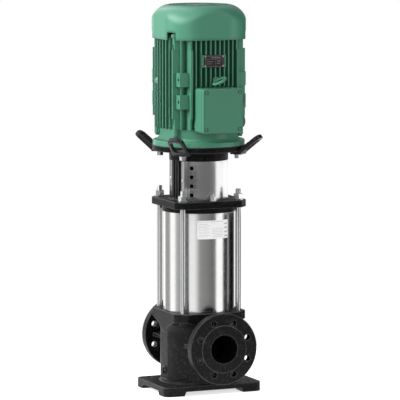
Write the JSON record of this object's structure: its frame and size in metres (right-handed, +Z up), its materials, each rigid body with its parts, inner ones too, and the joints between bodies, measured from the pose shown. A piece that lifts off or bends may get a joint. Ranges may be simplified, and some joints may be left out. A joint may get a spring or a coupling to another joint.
{
  "type": "vertical multistage pump",
  "caption": "Vertical in-line multistage pump: flanged cast base, stainless sleeve held by tie rods, lantern with coupling guards and a finned electric motor on top.",
  "frame": {"origin": "centre of the footprint on the floor, under the pump shaft", "axes": "+X along the port axis towards the discharge flange and the terminal box, +Z up along the shaft"},
  "size_m": [0.372, 0.306, 1.126],
  "materials": {
    "black_cast_iron": "black coated casting, satin",
    "grey_cast_iron": "machined",
    "stainless_steel": "brushed stainless",
    "zinc_steel": "zinc plated",
    "black_steel": "black coated, satin",
    "green_paint": "green machine enamel, semi-gloss",
    "electrical_steel": "laminated",
    "bearing_steel": "ground",
    "copper": "varnished copper wire",
    "black_rubber": "matte",
    "ptfe": "matte",
    "carbide": "lapped",
    "black_plastic": "matte",
    "dark_green_plastic": "satin",
    "black_plate": "black anodised",
    "label_silver": "matte silver foil"
  },
  "bodies": {
    "pump_frame": {"pump_housing": "black_cast_iron", "lantern": "black_cast_iron", "drain_plug": "black_steel", "pump_sleeve": "stainless_steel", "sleeve_seals": "black_rubber", "inlet_guide": "stainless_steel", "neck_rings": "ptfe", "stage_bearings": "carbide", "discharge_chamber": "stainless_steel", "seal_plate": "stainless_steel", "seal_seat": "carbide", "tie_rods": "stainless_steel", "tie_rod_washers": "stainless_steel", "tie_rod_nuts": "zinc_steel", "vent_plug": "zinc_steel", "pump_label": "label_silver", "guard_screws": "zinc_steel", "motor_flange_bolts": "zinc_steel", "drive_end_shield": "green_paint", "stator_housing": "green_paint", "stator_core": "electrical_steel", "stator_windings": "copper", "upper_end_shield": "green_paint", "end_shield_bolts": "green_paint", "bearing_outer_rings": "bearing_steel", "fan_cowl": "green_paint", "terminal_box": "green_paint", "terminal_box_gasket": "black_rubber", "terminal_box_lid": "green_paint", "lid_screws": "green_paint", "terminal_board": "black_plastic", "cable_plugs": "dark_green_plastic", "eyebolt": "green_paint", "motor_plate": "black_plate", "plate_rivets": "zinc_steel", "earth_screw": "zinc_steel", "stage_casing_1": "stainless_steel", "stage_casing_2": "stainless_steel", "stage_casing_3": "stainless_steel", "front_guard": "stainless_steel", "rear_guard": "stainless_steel", "lifting_eye_1": "black_steel", "lifting_eye_2": "black_steel", "lifting_eye_3": "black_steel", "lifting_eye_4": "black_steel"},
    "rotor": {"pump_shaft": "stainless_steel", "impeller_1": "stainless_steel", "impeller_2": "stainless_steel", "impeller_3": "stainless_steel", "shaft_spacers": "stainless_steel", "shaft_nut": "stainless_steel", "seal_head": "stainless_steel", "front_coupling_half": "grey_cast_iron", "rear_coupling_half": "grey_cast_iron", "coupling_bolts": "black_steel", "motor_shaft": "bearing_steel", "rotor_core": "electrical_steel", "bearing_inner_rings": "bearing_steel", "cooling_fan": "black_plastic"},
    "vent_screw": {"vent_screw": "zinc_steel"}
  },
  "joints": [
    {"name": "rotor_spin", "type": "hinge", "parent": "pump_frame", "child": "rotor", "pos_m": [0, 0, 0.64], "axis": [0, 0, 1], "continuous": true},
    {"name": "vent_screw_turn", "type": "hinge", "parent": "pump_frame", "child": "vent_screw", "pos_m": [0.1015, 0, 0.57], "axis": [0, 0, 1], "range_deg": [0, 720]}
  ]
}
